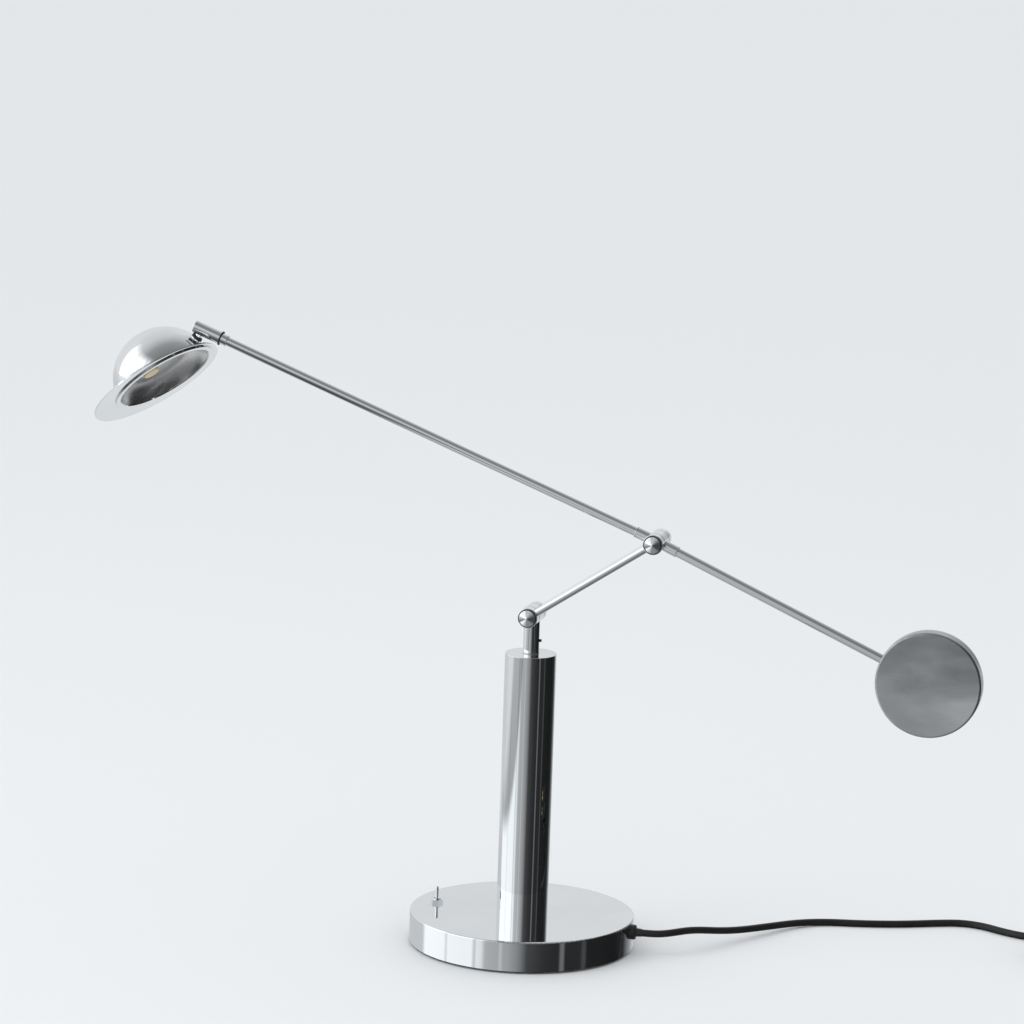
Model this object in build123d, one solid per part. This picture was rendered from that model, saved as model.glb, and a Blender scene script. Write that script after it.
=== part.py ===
from build123d import *
import math
import os

# Counterbalanced table lamp, in millimetres, +Z up.
# Origin at the centre of the base's underside. The arm lies in the XZ plane,
# with the shade towards -X and the counterweight towards +X.

# Fits: FIT is a radial running or locating fit, GAP a clearance between neighbours
FIT = 0.05
GAP = 0.3

# Base
BASE_RADIUS = 90.0
PAD_HEIGHT = 2.0
PAD_INSET = 6.0
COVER_HEIGHT = 24.0
COVER_WALL = 2.0
COVER_EDGE = 1.2
PLATE_THICKNESS = 2.0
BALLAST_GAP = 1.5
PLATE_SCREW_INSET = 30.0
PLATE_SCREW_COUNT = 4
PLATE_SCREW_RADIUS = 2.0
PLATE_SCREW_HEAD = 4.0
PLATE_SCREW_LENGTH = 12.0

# Driver and lead inside the base
DRIVER_LENGTH = 40.0
DRIVER_WIDTH = 26.0
DRIVER_HEIGHT = 18.0
SUPPLY_LEAD_LENGTH = 4.0
DRIVER_EDGE = 1.5
POCKET_GAP = 2.5

# Cord gland in the base's side
GLAND_RADIUS = 4.5
GLAND_DEPTH = 11.0
GLAND_FLANGE_RADIUS = 6.0
GLAND_FLANGE = 4.0
GLAND_FLANGE_EDGE = 1.2
GLAND_SLEEVE = 5.0
GLAND_SLEEVE_RADIUS = 3.5
GLAND_TIP_RADIUS = 3.1
GLAND_TAIL = 9.0
GLAND_NUT_FLATS = 11.0
GLAND_NUT_HEIGHT = 4.0
GLAND_NUT_ROOM = 0.5

# Toggle switch on the base
TOGGLE_INSET = 19.0
TOGGLE_BUSH_RADIUS = 3.0
TOGGLE_BUSH_RISE = 3.6
TOGGLE_BORE_RADIUS = 1.8
TOGGLE_MOUTH_RADIUS = 2.5
TOGGLE_NUT_FLATS = 8.4
TOGGLE_NUT_HEIGHT = 2.8
TOGGLE_PIVOT_DEPTH = 0.5
TOGGLE_BALL_RADIUS = 1.5
TOGGLE_PIN_RADIUS = 0.6
TOGGLE_LEVER_RADIUS = 1.0
TOGGLE_TIP_RADIUS = 1.25
TOGGLE_LEVER_RISE = 13.5
SWITCH_LENGTH = 13.0
SWITCH_WIDTH = 8.0
SWITCH_HEIGHT = 9.5
TERMINAL_WIDTH = 2.0
TERMINAL_THICKNESS = 0.8
TERMINAL_LENGTH = 4.5
TERMINAL_PITCH = 4.7
TERMINAL_COUNT = 3

# Column and the rod that ties it to the base
COLUMN_RADIUS = 20.6
COLUMN_WALL = 1.6
COLUMN_HEIGHT = 212.0
COLUMN_EDGE = 0.5
FOOT_HEIGHT = 6.0
CAP_DEPTH = 20.0
TIE_ROD_RADIUS = 5.0
TIE_ROD_GRIP = 8.0
TIE_ROD_STANDOUT = 0.7
TIE_ROD_ROOM = 0.8
TIE_NUT_FLATS = 17.0
TIE_NUT_HEIGHT = 7.0
TIE_WASHER_RADIUS = 10.0
TIE_WASHER_THICKNESS = 1.5
WIRE_WAY_RADIUS = 2.2

# Stem that turns on the column's post
POST_RADIUS = 4.0
POST_HEIGHT = 20.0
STEM_RADIUS = 6.4
STEM_WASHER = 0.8
LOWER_PIVOT_RISE = 31.0
SET_SCREW_RISE = 10.6
SET_SCREW_RADIUS = 1.1
SET_SCREW_STANDOUT = 1.8
SET_SCREW_SLOT = 0.5
GROOVE_DEPTH = 0.6
GROOVE_ROOM = 0.4

# Both pivots of the link
BARREL_RADIUS = 8.0
BARREL_HALF = 7.5
BARREL_EDGE = 0.4
FRICTION_WASHER = 0.5
FRICTION_WASHER_RADIUS = 7.4
EYE_LENGTH = 8.2
PIVOT_BOLT_RADIUS = 3.0
PIVOT_BOLT_STANDOUT = 0.8
BUTTON_RADIUS = 6.6
BUTTON_RIM = 0.8
BUTTON_EDGE = 0.4
BUTTON_RISE = 2.0
BUTTON_TIP = 0.3
BUTTON_WASHER = 0.5
BUTTON_WASHER_RADIUS = 7.4

# Link
LINK_SPAN = 118.85
LINK_ANGLE = 34.03
LINK_ROD_RADIUS = 3.0
LINK_ROD_SOCKET = 3.6

# Arm
FRONT_ARM_ANGLE = 20.74
REAR_ARM_ANGLE = 23.4
ARM_RADIUS = 3.7
ARM_INNER_END = 9.2
SLEEVE_RADIUS = 4.4
SLEEVE_REACH = 17.5
SLEEVE_RING = 0.8
SLEEVE_RING_RADIUS = 4.6
SLEEVE_RING_EDGE = 0.35
FRONT_ARM_LENGTH = 381.6
COLLAR_LENGTH = 5.4
COLLAR_RADIUS = 4.35
COLLAR_BEAD = 0.8
COLLAR_BEAD_RADIUS = 4.8

# Counterweight
WEIGHT_DISTANCE = 239.2
WEIGHT_RADIUS = 41.5
WEIGHT_THICKNESS = 15.5
WEIGHT_EDGE = 1.6
WEIGHT_ROD_DEPTH = 22.0
GRUB_RADIUS = 2.0
GRUB_SOCKET_FLATS = 2.0
GRUB_SOCKET_DEPTH = 1.8
GRUB_INSET = 0.4

# Head joint at the end of the arm
KNUCKLE_RING = 0.6
KNUCKLE_RING_RADIUS = 5.9
KNUCKLE_RADIUS = 5.15
KNUCKLE_LENGTH = 23.5
KNUCKLE_EDGE = 0.7
SPINDLE_RADIUS = 2.1
SPINDLE_SEAT = 9.0
SPINDLE_REACH = 22.0
NECK_SET = 16.2
NECK_ANGLE = 15.75
NECK_PIN_RADIUS = 2.5
NECK_PIN_DEPTH = 3.3
NECK_ROOM = 0.5
NECK_WASHER = 1.6
NECK_WASHER_RADIUS = 4.5
NECK_SEAT_RADIUS = 4.75
NECK_SEAT_RISE = 0.86
NECK_NUT_FLATS = 8.0
NECK_NUT_HEIGHT = 2.0
NECK_PIN_STANDOUT = 0.4

# Shade
DOME_RADIUS = 42.1
DOME_SINK = 1.8
SHADE_WALL = 1.2
NECK_APEX_ANGLE = 74.78
SHADE_TURN_ANGLE = 12.1
BRIM_RADIUS = 56.1
BRIM_THICKNESS = 1.2
BRIM_OFFSET = 8.6
BEZEL_RADIUS = 44.5
BEZEL_HEIGHT = 1.2
BEZEL_EDGE = 0.4
BEZEL_LEDGE = 0.9
BEZEL_FLARE = 0.8

# Light inside the shade
REFLECTOR_DEPTH = 10.5
REFLECTOR_CURVE = 20.0
REFLECTOR_WALL = 0.8
REFLECTOR_HOLE = 9.0
LED_OFFSET = 8.1
LED_RADIUS = 7.0
LED_HEIGHT = 3.0
LED_EDGE = 0.6
BOARD_RADIUS = 16.0
BOARD_THICKNESS = 1.6
BOARD_SCREW_CIRCLE = 12.5
BOARD_SCREW_COUNT = 3
BOARD_SCREW_RADIUS = 1.0
BOARD_SCREW_HEAD = 1.9
BOARD_SCREW_LENGTH = 5.0
SINK_RADIUS = 18.0
SINK_PLATE = 6.0
SINK_FIN_RISE = 9.0
SINK_FIN_THICKNESS = 1.6
SINK_FIN_COUNT = 5
SINK_BOSS_RADIUS = 4.0

# Mains lead: route points laid by hand, x from the base's rim, height of the sheath above the table
CORD_DIAMETER = 5.7
CORD_EXIT_RUN = 10.0
CORD_ROUTE = [
    (28.5, 3.1, 15.75),
    (36.7, 9.0, 16.45),
    (43.8, 17.4, 16.15),
    (51.2, 28.6, 14.15),
    (59.6, 41.2, 11.15),
    (68.6, 54.8, 8.35),
    (78.2, 69.8, 6.15),
    (88.4, 86.4, 4.35),
    (99.2, 103.4, 2.75),
    (110.4, 119.2, 1.45),
    (123.0, 131.6, 0.35),
    (139.0, 139.0, 0.0),
    (158.0, 142.6, 0.0),
    (178.0, 148.2, 0.0),
    (199.5, 156.4, 0.0),
    (220.5, 167.4, 0.0),
    (241.0, 176.0, 0.0),
    (259.5, 172.9, 0.0),
    (276.0, 162.6, 0.0),
    (294.0, 155.2, 0.0),
    (314.0, 151.2, 0.35),
    (332.0, 150.0, 1.3),
]
ARC_SHARE = 0.45
COIL_RIM_DISTANCE = 356.0
COIL_SETBACK = 107.4
COIL_RADIUS = 42.6
COIL_STEP = 0.5
COIL_TURNS_IN = 6
COIL_TURNS_OUT = 5
COIL_RUN = 14.0
COIL_TAIL = 22.0

# Ties and plug on the lead
TIE_THICKNESS = 1.0
TIE_WIDTH = 4.5
TIE_CORNER = 2.0
TIE_ROOM = 0.7
PLUG_THICKNESS = 14.0
PLUG_WIDTH = 26.0
PLUG_LENGTH = 34.0
PLUG_CORNER = 5.0
PLUG_SHOULDER = 4.5
PLUG_SLEEVE = 12.0
PLUG_SLEEVE_RADIUS = 4.8
PLUG_SLEEVE_TIP = 3.4
PIN_RADIUS = 2.0
PIN_LENGTH = 19.0
PIN_SPACING = 18.6

# Heights worked out from the base upwards
PLATE_TOP = PAD_HEIGHT + PLATE_THICKNESS
COVER_TOP = PAD_HEIGHT + COVER_HEIGHT
COVER_CEILING = COVER_TOP - COVER_WALL
COVER_BORE = BASE_RADIUS - COVER_WALL
PLATE_SCREW_CIRCLE = BASE_RADIUS - PLATE_SCREW_INSET
TOGGLE_DISTANCE = BASE_RADIUS - TOGGLE_INSET
GLAND_INNER_END = BASE_RADIUS - GLAND_DEPTH - GLAND_TAIL
DRIVER_NEAR = GLAND_INNER_END - SUPPLY_LEAD_LENGTH - DRIVER_LENGTH
GLAND_HEIGHT = COVER_CEILING - GLAND_NUT_FLATS / 2 - GLAND_NUT_ROOM
COLUMN_BORE = COLUMN_RADIUS - COLUMN_WALL
COLUMN_TOP = COVER_TOP + COLUMN_HEIGHT
CAP_BOTTOM = COLUMN_TOP - CAP_DEPTH
STEM_BOTTOM = COLUMN_TOP + STEM_WASHER
SET_SCREW_HEIGHT = COLUMN_TOP + SET_SCREW_RISE
TIE_ROD_BOTTOM = PLATE_TOP + TIE_ROD_ROOM
TIE_NUT_BOTTOM = TIE_ROD_BOTTOM + TIE_ROD_STANDOUT
TIE_WASHER_BOTTOM = TIE_NUT_BOTTOM + TIE_NUT_HEIGHT
COUNTERBORE_TOP = TIE_WASHER_BOTTOM + TIE_WASHER_THICKNESS
COUNTERBORE_RADIUS = TIE_WASHER_RADIUS + GAP
TOGGLE_PIVOT = COVER_TOP + TOGGLE_PIVOT_DEPTH
TOGGLE_PIN_HALF = TOGGLE_BUSH_RADIUS - GAP

# Directions and pivot points
UP = Vector(0, 0, 1)
ACROSS = Vector(0, 1, 0)


def in_arm_plane(degrees):
    angle = math.radians(degrees)
    return Vector(math.cos(angle), 0, math.sin(angle))


LINK_DIRECTION = in_arm_plane(LINK_ANGLE)
FRONT_DIRECTION = in_arm_plane(180 - FRONT_ARM_ANGLE)
REAR_DIRECTION = in_arm_plane(-REAR_ARM_ANGLE)
LOWER_PIVOT = Vector(0, 0, COLUMN_TOP + LOWER_PIVOT_RISE)
UPPER_PIVOT = LOWER_PIVOT + LINK_DIRECTION * LINK_SPAN
EYE_START = BARREL_HALF + FRICTION_WASHER
EYE_MIDDLE = EYE_START + EYE_LENGTH / 2
EYE_END = EYE_START + EYE_LENGTH
BUTTON_SEAT = EYE_END + BUTTON_WASHER
EYE_SOCKET_END = BARREL_RADIUS - LINK_ROD_SOCKET

# Stations along the front arm, measured from the upper pivot
ARM_END = FRONT_ARM_LENGTH + COLLAR_LENGTH
KNUCKLE_START = ARM_END + KNUCKLE_RING
NECK_POINT = UPPER_PIVOT + FRONT_DIRECTION * (KNUCKLE_START + NECK_SET)

# Head directions: the neck leans in the arm's plane, the shade is turned about it and tilts
NECK_DOWN = in_arm_plane(270 - FRONT_ARM_ANGLE - NECK_ANGLE)
SHADE_TURN = math.radians(SHADE_TURN_ANGLE)
NECK_AHEAD = (in_arm_plane(180 - FRONT_ARM_ANGLE - NECK_ANGLE) * math.cos(SHADE_TURN)
              + ACROSS * math.sin(SHADE_TURN))


def in_shade_plane(degrees):
    angle = math.radians(degrees)
    return NECK_AHEAD * math.sin(angle) - NECK_DOWN * math.cos(angle)


SHADE_APEX = in_shade_plane(NECK_APEX_ANGLE)
SHADE_OUT = in_shade_plane(NECK_APEX_ANGLE + 90)

# Stations along the neck, measured down from the arm's axis
NECK_SLOPE = math.radians(NECK_ANGLE)
NECK_WASHER_TOP = (KNUCKLE_RADIUS / math.cos(NECK_SLOPE)
                   + NECK_WASHER_RADIUS * math.tan(NECK_SLOPE) + NECK_ROOM)
NECK_SEAT_TOP = NECK_WASHER_TOP + NECK_WASHER
NECK_LENGTH = NECK_SEAT_TOP + NECK_SEAT_RISE

# Shade: the dome's centre lies a little below the brim's underside
DOME_CENTRE = NECK_POINT + NECK_DOWN * (NECK_LENGTH + DOME_RADIUS)
SHADE_ORIGIN = DOME_CENTRE + SHADE_APEX * DOME_SINK
SHADE_BORE = DOME_RADIUS - SHADE_WALL
BEZEL_BORE = SHADE_BORE - BEZEL_LEDGE

# Heights inside the shade, measured from the brim's underside
REFLECTOR_DROP = REFLECTOR_CURVE - REFLECTOR_DEPTH
REFLECTOR_FLAT = BEZEL_BORE - math.sqrt(REFLECTOR_CURVE ** 2 - REFLECTOR_DROP ** 2)
BOARD_BOTTOM = REFLECTOR_DEPTH + REFLECTOR_WALL
BOARD_TOP = BOARD_BOTTOM + BOARD_THICKNESS


def corner_radius(flats):
    return flats / math.sqrt(3)


# Nut and pin end inside the dome
NECK_NUT_CORNER = corner_radius(NECK_NUT_FLATS)
NECK_NUT_TOP = (NECK_LENGTH + DOME_RADIUS + FIT
                - math.sqrt(SHADE_BORE ** 2 - NECK_NUT_CORNER ** 2))
NECK_PIN_END = NECK_NUT_TOP + NECK_NUT_HEIGHT + NECK_PIN_STANDOUT

# Coil levels and ends
CORD_RADIUS = CORD_DIAMETER / 2
COIL_PITCH = CORD_DIAMETER + COIL_STEP
COIL_LEVEL = TIE_THICKNESS + GAP + CORD_RADIUS
COIL_INNER = COIL_RADIUS - COIL_TURNS_IN * COIL_PITCH / 2
COIL_CENTRE = Vector(BASE_RADIUS + COIL_RIM_DISTANCE, COIL_SETBACK, COIL_LEVEL)
COIL_TOP = COIL_CENTRE + ACROSS * COIL_RADIUS
COIL_HEADING = Vector(1, 0, 0)
COIL_ENTRY = COIL_TOP - COIL_HEADING * CORD_DIAMETER
GLAND_TIP = Vector(BASE_RADIUS + GLAND_FLANGE + GLAND_SLEEVE, 0, GLAND_HEIGHT)


# Shared shapes and placements

def rod(radius, length):
    return Cylinder(radius, length, align=(Align.CENTER, Align.CENTER, Align.MIN))


def taper(bottom, top, length):
    return Cone(bottom, top, length, align=(Align.CENTER, Align.CENTER, Align.MIN))


def hexagon(flats, length):
    return extrude(RegularPolygon(flats / 2, 6, major_radius=False), amount=length)


def block(length, width, height):
    return Box(length, width, height, align=(Align.CENTER, Align.CENTER, Align.MIN))


def place(origin, direction, shape, level=0.0):
    return Plane(origin=origin + direction * level, z_dir=direction).location * shape


def lift(shape, level):
    return Pos(0, 0, level) * shape


def both_sides(shape):
    return [shape, mirror(shape, about=Plane.XZ)]


def turned_copies(shape, count, start):
    return [Rot(0, 0, start + 360 * index / count) * shape for index in range(count)]


def group(shapes):
    solids = [solid for shape in shapes for solid in shape.solids()]
    return Compound(solids)


def button():
    head = rod(BUTTON_RADIUS, BUTTON_RIM) + lift(taper(BUTTON_RADIUS, BUTTON_TIP, BUTTON_RISE), BUTTON_RIM)
    return fillet(head.edges().filter_by(GeomType.CIRCLE).group_by(Axis.Z)[1], BUTTON_EDGE)


def countersunk(radius, head, length):
    return rod(radius, length) + taper(head, radius, head - radius)


# Base

def base_pad():
    return rod(BASE_RADIUS - PAD_INSET, PAD_HEIGHT)


def plate_screw(room):
    screw = countersunk(PLATE_SCREW_RADIUS + room, PLATE_SCREW_HEAD + room, PLATE_SCREW_LENGTH + room)
    return Pos(PLATE_SCREW_CIRCLE, 0, PAD_HEIGHT) * screw


def plate_screw_set(room):
    return turned_copies(plate_screw(room), PLATE_SCREW_COUNT, 180 / PLATE_SCREW_COUNT)


def bottom_plate():
    return lift(rod(COVER_BORE - FIT, PLATE_THICKNESS), PAD_HEIGHT) - plate_screw_set(FIT)


def driver_place():
    return Pos(DRIVER_NEAR + DRIVER_LENGTH / 2, 0, PLATE_TOP)


def base_ballast():
    body = lift(rod(COVER_BORE - BALLAST_GAP, COVER_CEILING - PLATE_TOP), PLATE_TOP)
    body -= lift(rod(TIE_ROD_RADIUS + GAP, COVER_CEILING), 0)
    body -= lift(rod(COUNTERBORE_RADIUS, COUNTERBORE_TOP), 0)
    driver_start = DRIVER_NEAR - POCKET_GAP
    driver_way = BASE_RADIUS - driver_start
    driver_pocket = block(driver_way, DRIVER_WIDTH + 2 * POCKET_GAP, COVER_TOP)
    body -= Pos(driver_start + driver_way / 2, 0, 0) * driver_pocket
    switch_way = block(SWITCH_WIDTH + 2 * POCKET_GAP, SWITCH_LENGTH + 2 * POCKET_GAP, COVER_TOP)
    body -= Pos(-TOGGLE_DISTANCE, 0, 0) * switch_way
    return body - plate_screw_set(FIT)


def base_cover():
    shell = lift(rod(BASE_RADIUS, COVER_HEIGHT), PAD_HEIGHT)
    shell = fillet(shell.edges().group_by(Axis.Z)[-1], COVER_EDGE)
    shell -= lift(rod(COVER_BORE, COVER_CEILING), 0)
    shell -= rod(TIE_ROD_RADIUS + GAP, COVER_TOP + GAP)
    shell -= Pos(-TOGGLE_DISTANCE, 0, 0) * rod(TOGGLE_BUSH_RADIUS + FIT, COVER_TOP + GAP)
    return shell - place(Vector(0, 0, GLAND_HEIGHT), Vector(1, 0, 0), rod(GLAND_RADIUS + FIT, BASE_RADIUS))


def led_driver():
    body = block(DRIVER_LENGTH, DRIVER_WIDTH, DRIVER_HEIGHT)
    return driver_place() * fillet(body.edges().group_by(Axis.Z)[-1], DRIVER_EDGE)


# Cord gland: local Z points out of the base along +X

def gland_place(shape, level):
    return place(Vector(BASE_RADIUS, 0, GLAND_HEIGHT), Vector(1, 0, 0), shape, level)


def cord_gland():
    flange = rod(GLAND_FLANGE_RADIUS, GLAND_FLANGE + GLAND_FLANGE_EDGE)
    flange = fillet(flange.edges().group_by(Axis.Z)[-1], GLAND_FLANGE_EDGE)
    flange = gland_place(flange, -GLAND_FLANGE_EDGE) - rod(BASE_RADIUS, COVER_TOP)
    sleeve = gland_place(taper(GLAND_SLEEVE_RADIUS, GLAND_TIP_RADIUS, GLAND_SLEEVE), GLAND_FLANGE)
    shank = gland_place(rod(GLAND_RADIUS, GLAND_DEPTH + GLAND_FLANGE / 2), -GLAND_DEPTH)
    tail = gland_place(taper(GLAND_TIP_RADIUS, GLAND_RADIUS, GLAND_TAIL), -GLAND_DEPTH - GLAND_TAIL)
    return flange + sleeve + shank + tail


def gland_nut():
    nut = hexagon(GLAND_NUT_FLATS, GLAND_NUT_HEIGHT) - rod(GLAND_RADIUS + FIT, GLAND_NUT_HEIGHT)
    seat = math.sqrt(COVER_BORE ** 2 - corner_radius(GLAND_NUT_FLATS) ** 2) - BASE_RADIUS - FIT
    return gland_place(Rot(0, 0, 30) * nut, seat - GLAND_NUT_HEIGHT)


def supply_lead():
    lead_start = Vector(DRIVER_NEAR + DRIVER_LENGTH, 0, GLAND_HEIGHT)
    return place(lead_start, Vector(1, 0, 0), rod(CORD_RADIUS, SUPPLY_LEAD_LENGTH))


# Toggle switch

def at_toggle(shape, level):
    return Pos(-TOGGLE_DISTANCE, 0, level) * shape


def across_toggle(radius, half):
    return place(Vector(-TOGGLE_DISTANCE, 0, TOGGLE_PIVOT), Vector(1, 0, 0), rod(radius, 2 * half), -half)


def switch_body():
    return at_toggle(block(SWITCH_WIDTH, SWITCH_LENGTH, SWITCH_HEIGHT), COVER_CEILING - SWITCH_HEIGHT)


def switch_terminals():
    blade = block(TERMINAL_WIDTH, TERMINAL_THICKNESS, TERMINAL_LENGTH)
    level = COVER_CEILING - SWITCH_HEIGHT - TERMINAL_LENGTH
    first = -TERMINAL_PITCH * (TERMINAL_COUNT - 1) / 2
    return group([at_toggle(Pos(0, first + index * TERMINAL_PITCH, 0) * blade, level)
                  for index in range(TERMINAL_COUNT)])


def toggle_bush():
    height = COVER_WALL + TOGGLE_BUSH_RISE
    mouth = TOGGLE_BUSH_RISE - TOGGLE_PIVOT_DEPTH
    bush = rod(TOGGLE_BUSH_RADIUS, height) - rod(TOGGLE_BORE_RADIUS, height)
    bush -= lift(taper(TOGGLE_BORE_RADIUS, TOGGLE_MOUTH_RADIUS, mouth), height - mouth)
    return at_toggle(bush, COVER_CEILING) - across_toggle(TOGGLE_PIN_RADIUS + FIT, TOGGLE_BUSH_RADIUS)


def toggle_nut():
    nut = hexagon(TOGGLE_NUT_FLATS, TOGGLE_NUT_HEIGHT)
    return at_toggle(nut - rod(TOGGLE_BUSH_RADIUS + FIT, TOGGLE_NUT_HEIGHT), COVER_TOP)


def toggle_lever():
    top = TOGGLE_LEVER_RISE - TOGGLE_PIVOT_DEPTH
    shaft = taper(TOGGLE_LEVER_RADIUS, TOGGLE_TIP_RADIUS, top - TOGGLE_TIP_RADIUS)
    lever = Sphere(TOGGLE_BALL_RADIUS) + shaft + lift(Sphere(TOGGLE_TIP_RADIUS), top - TOGGLE_TIP_RADIUS)
    return at_toggle(lever, TOGGLE_PIVOT) - across_toggle(TOGGLE_PIN_RADIUS + FIT, TOGGLE_BUSH_RADIUS)


def toggle_pin():
    return across_toggle(TOGGLE_PIN_RADIUS, TOGGLE_PIN_HALF)


# Column

def column_tube():
    tube = rod(COLUMN_RADIUS, COLUMN_HEIGHT)
    tube = fillet(tube.edges().group_by(Axis.Z)[-1], COLUMN_EDGE)
    return lift(tube - rod(COLUMN_BORE, COLUMN_HEIGHT), COVER_TOP)


def column_foot():
    foot = rod(COLUMN_BORE - FIT, FOOT_HEIGHT) - rod(TIE_ROD_RADIUS + GAP, FOOT_HEIGHT)
    return lift(foot, COVER_TOP)


def column_cap():
    cap = rod(COLUMN_BORE - FIT, CAP_DEPTH) + lift(rod(POST_RADIUS, POST_HEIGHT), CAP_DEPTH)
    cap -= rod(TIE_ROD_RADIUS + FIT, TIE_ROD_GRIP + GAP)
    cap -= rod(WIRE_WAY_RADIUS, CAP_DEPTH + POST_HEIGHT)
    half = SET_SCREW_RADIUS + GROOVE_ROOM
    groove = rod(POST_RADIUS + GAP, 2 * half) - rod(POST_RADIUS - GROOVE_DEPTH, 2 * half)
    return lift(cap - lift(groove, CAP_DEPTH + SET_SCREW_RISE - half), CAP_BOTTOM)


def tie_rod():
    length = CAP_BOTTOM + TIE_ROD_GRIP - TIE_ROD_BOTTOM
    return lift(rod(TIE_ROD_RADIUS, length) - rod(WIRE_WAY_RADIUS, length), TIE_ROD_BOTTOM)


def tie_nut():
    nut = hexagon(TIE_NUT_FLATS, TIE_NUT_HEIGHT) - rod(TIE_ROD_RADIUS + FIT, TIE_NUT_HEIGHT)
    return lift(nut, TIE_NUT_BOTTOM)


def tie_washer():
    washer = rod(TIE_WASHER_RADIUS, TIE_WASHER_THICKNESS) - rod(TIE_ROD_RADIUS + GAP, TIE_WASHER_THICKNESS)
    return lift(washer, TIE_WASHER_BOTTOM)


# Stem

def stem_washer():
    return lift(rod(STEM_RADIUS, STEM_WASHER) - rod(POST_RADIUS + FIT, STEM_WASHER), COLUMN_TOP)


def barrel(length):
    body = rod(BARREL_RADIUS, length)
    return fillet(body.edges().filter_by(GeomType.CIRCLE), BARREL_EDGE)


def across_pivot(pivot, shape, level):
    return place(pivot, ACROSS, shape, level)


def pivot_bore(pivot):
    return across_pivot(pivot, rod(PIVOT_BOLT_RADIUS + FIT, 2 * BARREL_HALF), -BARREL_HALF)


def set_screw_place(radius, start, end):
    return place(Vector(0, 0, SET_SCREW_HEIGHT), Vector(1, 0, 0), rod(radius, end - start), start)


def stem():
    body = lift(rod(STEM_RADIUS, LOWER_PIVOT_RISE - STEM_WASHER), STEM_BOTTOM)
    body += across_pivot(LOWER_PIVOT, barrel(2 * BARREL_HALF), -BARREL_HALF)
    body -= lift(rod(POST_RADIUS + FIT, POST_HEIGHT - STEM_WASHER + GAP), STEM_BOTTOM)
    body -= set_screw_place(SET_SCREW_RADIUS + FIT, 0, STEM_RADIUS + GAP)
    return body - pivot_bore(LOWER_PIVOT)


def stem_set_screw():
    tip = POST_RADIUS - GROOVE_DEPTH + GAP
    end = STEM_RADIUS + SET_SCREW_STANDOUT
    slot = Pos(end, 0, SET_SCREW_HEIGHT) * Box(2 * SET_SCREW_SLOT, 2 * SET_SCREW_RADIUS, SET_SCREW_SLOT)
    return set_screw_place(SET_SCREW_RADIUS, tip, end) - slot


# Pivots of the link, each with twin eyes outside the barrel

def washer_pair(pivot, radius, thickness, level):
    washer = rod(radius, thickness) - rod(PIVOT_BOLT_RADIUS + GAP, thickness)
    return both_sides(across_pivot(pivot, washer, level))


def friction_washers(pivot):
    inner = washer_pair(pivot, FRICTION_WASHER_RADIUS, FRICTION_WASHER, BARREL_HALF)
    outer = washer_pair(pivot, BUTTON_WASHER_RADIUS, BUTTON_WASHER, EYE_END)
    return group(inner + outer)


def pivot_bolt(pivot):
    shank = rod(PIVOT_BOLT_RADIUS, 2 * BUTTON_SEAT + PIVOT_BOLT_STANDOUT)
    return place(pivot, -ACROSS, button(), BUTTON_SEAT) + across_pivot(pivot, shank, -BUTTON_SEAT)


def pivot_nut(pivot):
    nut = button() - rod(PIVOT_BOLT_RADIUS + FIT, PIVOT_BOLT_STANDOUT + GAP)
    return across_pivot(pivot, nut, BUTTON_SEAT)


def link_eyes(pivot, towards):
    eye = across_pivot(pivot, barrel(EYE_LENGTH) - rod(PIVOT_BOLT_RADIUS + FIT, EYE_LENGTH), EYE_START)
    socket = rod(LINK_ROD_RADIUS + FIT, BARREL_RADIUS)
    eye -= place(pivot + ACROSS * EYE_MIDDLE, towards, socket, EYE_SOCKET_END)
    return group(both_sides(eye))


def link_rods():
    length = LINK_SPAN - 2 * EYE_SOCKET_END
    start = LOWER_PIVOT + ACROSS * EYE_MIDDLE
    link_rod = place(start, LINK_DIRECTION, rod(LINK_ROD_RADIUS, length), EYE_SOCKET_END)
    return group(both_sides(link_rod))


# Arm

def on_front_arm(shape, station):
    return place(UPPER_PIVOT, FRONT_DIRECTION, shape, station)


def on_rear_arm(shape, station):
    return place(UPPER_PIVOT, REAR_DIRECTION, shape, station)


def arm_hub():
    hub = across_pivot(UPPER_PIVOT, barrel(2 * BARREL_HALF), -BARREL_HALF)
    socket = rod(ARM_RADIUS + FIT, SLEEVE_REACH)
    for on_arm in (on_front_arm, on_rear_arm):
        hub += on_arm(rod(SLEEVE_RADIUS, SLEEVE_REACH), 0)
        hub -= on_arm(socket, ARM_INNER_END - FIT)
    return hub - pivot_bore(UPPER_PIVOT)


def sleeve_rings():
    ring = rod(SLEEVE_RING_RADIUS, SLEEVE_RING)
    ring = fillet(ring.edges().filter_by(GeomType.CIRCLE), SLEEVE_RING_EDGE)
    ring -= rod(ARM_RADIUS + FIT, SLEEVE_RING)
    return group([on_front_arm(ring, SLEEVE_REACH), on_rear_arm(ring, SLEEVE_REACH)])


def front_arm():
    length = ARM_END - ARM_INNER_END
    return on_front_arm(rod(ARM_RADIUS, length) - rod(SPINDLE_RADIUS + FIT, length), ARM_INNER_END)


def arm_collar():
    collar = rod(COLLAR_RADIUS, COLLAR_LENGTH) + rod(COLLAR_BEAD_RADIUS, COLLAR_BEAD)
    return on_front_arm(collar - rod(ARM_RADIUS + FIT, COLLAR_LENGTH), FRONT_ARM_LENGTH)


def rear_arm():
    end = WEIGHT_DISTANCE - WEIGHT_RADIUS + WEIGHT_ROD_DEPTH
    return on_rear_arm(rod(ARM_RADIUS, end - ARM_INNER_END), ARM_INNER_END)


def grub_place(shape, level):
    station = WEIGHT_DISTANCE - WEIGHT_RADIUS + WEIGHT_ROD_DEPTH / 2
    return place(UPPER_PIVOT + REAR_DIRECTION * station, ACROSS, shape, level)


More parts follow.
